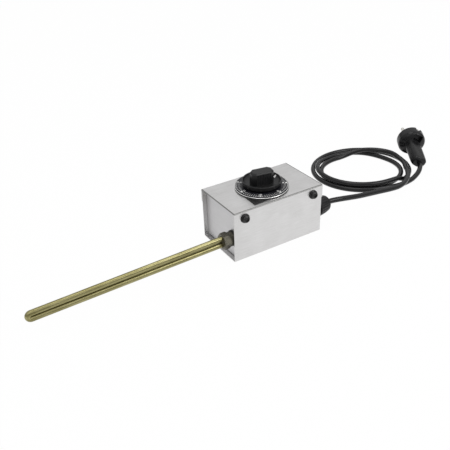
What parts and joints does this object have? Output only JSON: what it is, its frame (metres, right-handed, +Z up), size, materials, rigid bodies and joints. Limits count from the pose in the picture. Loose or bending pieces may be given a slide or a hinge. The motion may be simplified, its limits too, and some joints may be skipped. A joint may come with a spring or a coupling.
{
  "type": "submersible aquarium heater",
  "caption": "Sheet-steel thermostat box with a turning dial on top, a hairpin heating element out of one end, and a coiled mains cord with a moulded plug out of the other.",
  "frame": {"origin": "middle of the steel box's underside, where it stands; the dial's axis passes through it", "axes": "+Z up along the dial's axis, +X along the box from the heating element to the cord, +Y towards the back of the box"},
  "size_m": [0.6184, 0.1643, 0.0833],
  "materials": {
    "cabinet_steel": "satin stainless sheet, finely brushed",
    "screw_steel": "bright zinc-plated steel",
    "screw_black": "blackened steel",
    "element_tube": "polished sheath with an olive heat tint",
    "bush_metal": "blackened steel",
    "ceramic": "unglazed steatite",
    "seal_rubber": "moulded, matt",
    "cord_sheath": "smooth, glossy black",
    "plug_plastic": "moulded, glossy black",
    "plug_metal": "nickel-plated",
    "knob_plastic": "moulded, half gloss black",
    "scale_plate": "black with a pale printed scale",
    "index_paint": "black enamel",
    "bezel_metal": "bright plated ring",
    "thermostat_moulding": "brown phenolic moulding",
    "contact_brass": "plain brass",
    "copper": "bright copper",
    "gland_nylon": "black nylon",
    "wire_brown": "brown insulation",
    "wire_blue": "blue insulation",
    "wire_green": "green and yellow insulation"
  },
  "bodies": {
    "cabinet": {"bezel_ring": "bezel_metal", "bulb_cradle": "screw_steel", "bush_gasket": "seal_rubber", "bush_retaining_ring": "screw_steel", "capillary_tube": "copper", "ceramic_bead_lower": "ceramic", "ceramic_bead_upper": "ceramic", "cord_coil": "cord_sheath", "cord_end_plate": "cabinet_steel", "cord_lead": "cord_sheath", "cord_sheath_end": "cord_sheath", "cord_tail": "cord_sheath", "cup_washer_back_left": "screw_black", "cup_washer_back_right": "screw_black", "cup_washer_front_left": "screw_black", "cup_washer_front_right": "screw_black", "earth_nut": "contact_brass", "earth_ring": "contact_brass", "earth_stud": "screw_steel", "element_bush": "bush_metal", "element_end_plate": "cabinet_steel", "element_pin_lower": "screw_steel", "element_pin_upper": "screw_steel", "gland_body": "gland_nylon", "gland_dome": "gland_nylon", "gland_lock_nut": "gland_nylon", "gland_seal": "seal_rubber", "heating_element": "element_tube", "housing_body": "cabinet_steel", "index_plate": "index_paint", "lid": "cabinet_steel", "lid_screw_back_left": "screw_black", "lid_screw_back_right": "screw_black", "lid_screw_front_left": "screw_black", "lid_screw_front_right": "screw_black", "plug_body": "plug_plastic", "plug_earth_clip": "plug_metal", "plug_pin_a": "plug_metal", "plug_pin_b": "plug_metal", "screw_rail_back": "screw_steel", "screw_rail_front": "screw_steel", "sensor_bulb": "copper", "terminal_barrel": "contact_brass", "terminal_block": "ceramic", "terminal_block_screw": "screw_steel", "thermostat_blade_left": "contact_brass", "thermostat_blade_right": "contact_brass", "thermostat_body": "thermostat_moulding", "thermostat_diaphragm": "copper", "thermostat_frame": "screw_steel", "thermostat_screw_left": "screw_steel", "thermostat_screw_right": "screw_steel", "wire_earth": "wire_green", "wire_heater_live": "wire_brown", "wire_heater_neutral": "wire_blue", "wire_live": "wire_brown", "wire_neutral": "wire_blue"},
    "knob": {"dial_knob": "knob_plastic", "scale_disc": "scale_plate", "knob_spindle": "contact_brass"}
  },
  "joints": [
    {"name": "dial_turn", "type": "hinge", "parent": "cabinet", "child": "knob", "pos_m": [0, 0, 0.0656], "axis": [0, 0, 1], "range_deg": [-135, 135]}
  ]
}
